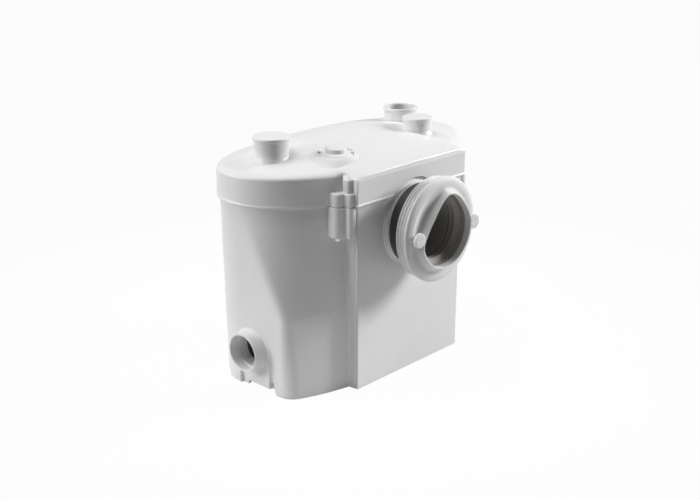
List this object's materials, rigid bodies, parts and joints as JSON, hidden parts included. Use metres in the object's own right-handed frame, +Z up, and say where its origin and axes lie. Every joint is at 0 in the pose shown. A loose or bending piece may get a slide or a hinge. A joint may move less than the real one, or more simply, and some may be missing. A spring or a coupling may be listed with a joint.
{
  "type": "macerator toilet pump",
  "caption": "White floor-standing macerator pump tank with domed lid, rubber toilet connector, capped top inlets, side inlet, discharge socket, motor, blade, basket and float-free switch.",
  "frame": {"origin": "underside of the centre foot, below the line of the toilet inlet", "axes": "+X to the right seen from the toilet inlet, -Y out of the toilet inlet, +Z up"},
  "size_m": [0.3553, 0.255, 0.2849],
  "materials": {
    "white_plastic": "satin",
    "off_white_plastic": "satin",
    "white_rubber": "satin",
    "black_rubber": "matte",
    "black_foam": "matte",
    "black_plastic": "satin",
    "grey_plastic": "satin",
    "dark_clip": "satin",
    "stainless": "satin",
    "laminations": "matte",
    "copper_wire": "satin"
  },
  "bodies": {
    "unit": {"tank": "white_plastic", "lid": "white_plastic", "lid_gasket": "black_rubber", "lid_screws": "stainless", "foot_pads": "black_rubber", "wc_connector": "white_rubber", "wc_clip_band": "dark_clip", "wc_clip_screw": "stainless", "vent_filter": "black_foam", "discharge_socket": "white_plastic", "discharge_seal": "black_rubber", "discharge_pipe": "grey_plastic", "discharge_clips": "stainless", "check_valve_body": "grey_plastic", "check_valve_pin": "stainless", "side_valve_seat": "grey_plastic", "side_valve_pin": "stainless", "pump_casing": "grey_plastic", "pump_cover": "grey_plastic", "cutting_basket": "stainless", "motor_housing": "grey_plastic", "motor_cover": "grey_plastic", "motor_cover_screws": "stainless", "stator_core": "laminations", "stator_windings": "copper_wire", "lower_bearing": "stainless", "upper_bearing": "stainless", "shaft_seal": "black_rubber", "carrier_plate": "grey_plastic", "carrier_screws": "stainless", "control_box": "off_white_plastic", "control_box_cover": "off_white_plastic", "capacitor": "off_white_plastic", "terminal_block": "off_white_plastic", "micro_switch": "black_plastic", "switch_membrane": "black_rubber", "dip_tube": "grey_plastic", "cable_gland": "black_plastic", "gland_nut": "black_plastic"},
    "rotor": {"rotor_core": "laminations", "motor_shaft": "stainless", "impeller": "black_plastic", "macerator_blade": "stainless", "blade_nut": "stainless"},
    "check_flap": {"check_valve_flap": "black_rubber"},
    "side_flap": {"side_valve_flap": "black_rubber"},
    "left_cap": {"left_inlet_cap": "white_plastic"},
    "right_cap": {"right_inlet_cap": "white_plastic"},
    "vent": {"vent_cap": "white_plastic"},
    "plunger": {"switch_plunger": "white_plastic"}
  },
  "joints": [
    {"name": "rotor_spin", "type": "hinge", "parent": "unit", "child": "rotor", "pos_m": [-0.085, 0.03517, 0.16], "axis": [0, 0, 1], "continuous": true},
    {"name": "check_flap_swing", "type": "hinge", "parent": "unit", "child": "check_flap", "pos_m": [0.091, 0.012, 0.2052], "axis": [0, -1, 0], "range_deg": [0, 65]},
    {"name": "side_flap_swing", "type": "hinge", "parent": "unit", "child": "side_flap", "pos_m": [-0.1532, -0.003, 0.07], "axis": [0, -1, 0], "range_deg": [0, 45]},
    {"name": "left_cap_pull", "type": "slide", "parent": "unit", "child": "left_cap", "axis": [0, 0, 1], "range_m": [0, 0.03]},
    {"name": "right_cap_pull", "type": "slide", "parent": "unit", "child": "right_cap", "axis": [0, 0, 1], "range_m": [0, 0.025]},
    {"name": "vent_turn", "type": "hinge", "parent": "unit", "child": "vent", "pos_m": [-0.069, -0.043, 0.264], "axis": [0, 0, 1], "range_deg": [0, 90]},
    {"name": "plunger_slide", "type": "slide", "parent": "unit", "child": "plunger", "axis": [0, 0, 1], "range_m": [0, 0.0015], "stiffness_N_per_m": 300, "springref_m": -0.002}
  ]
}
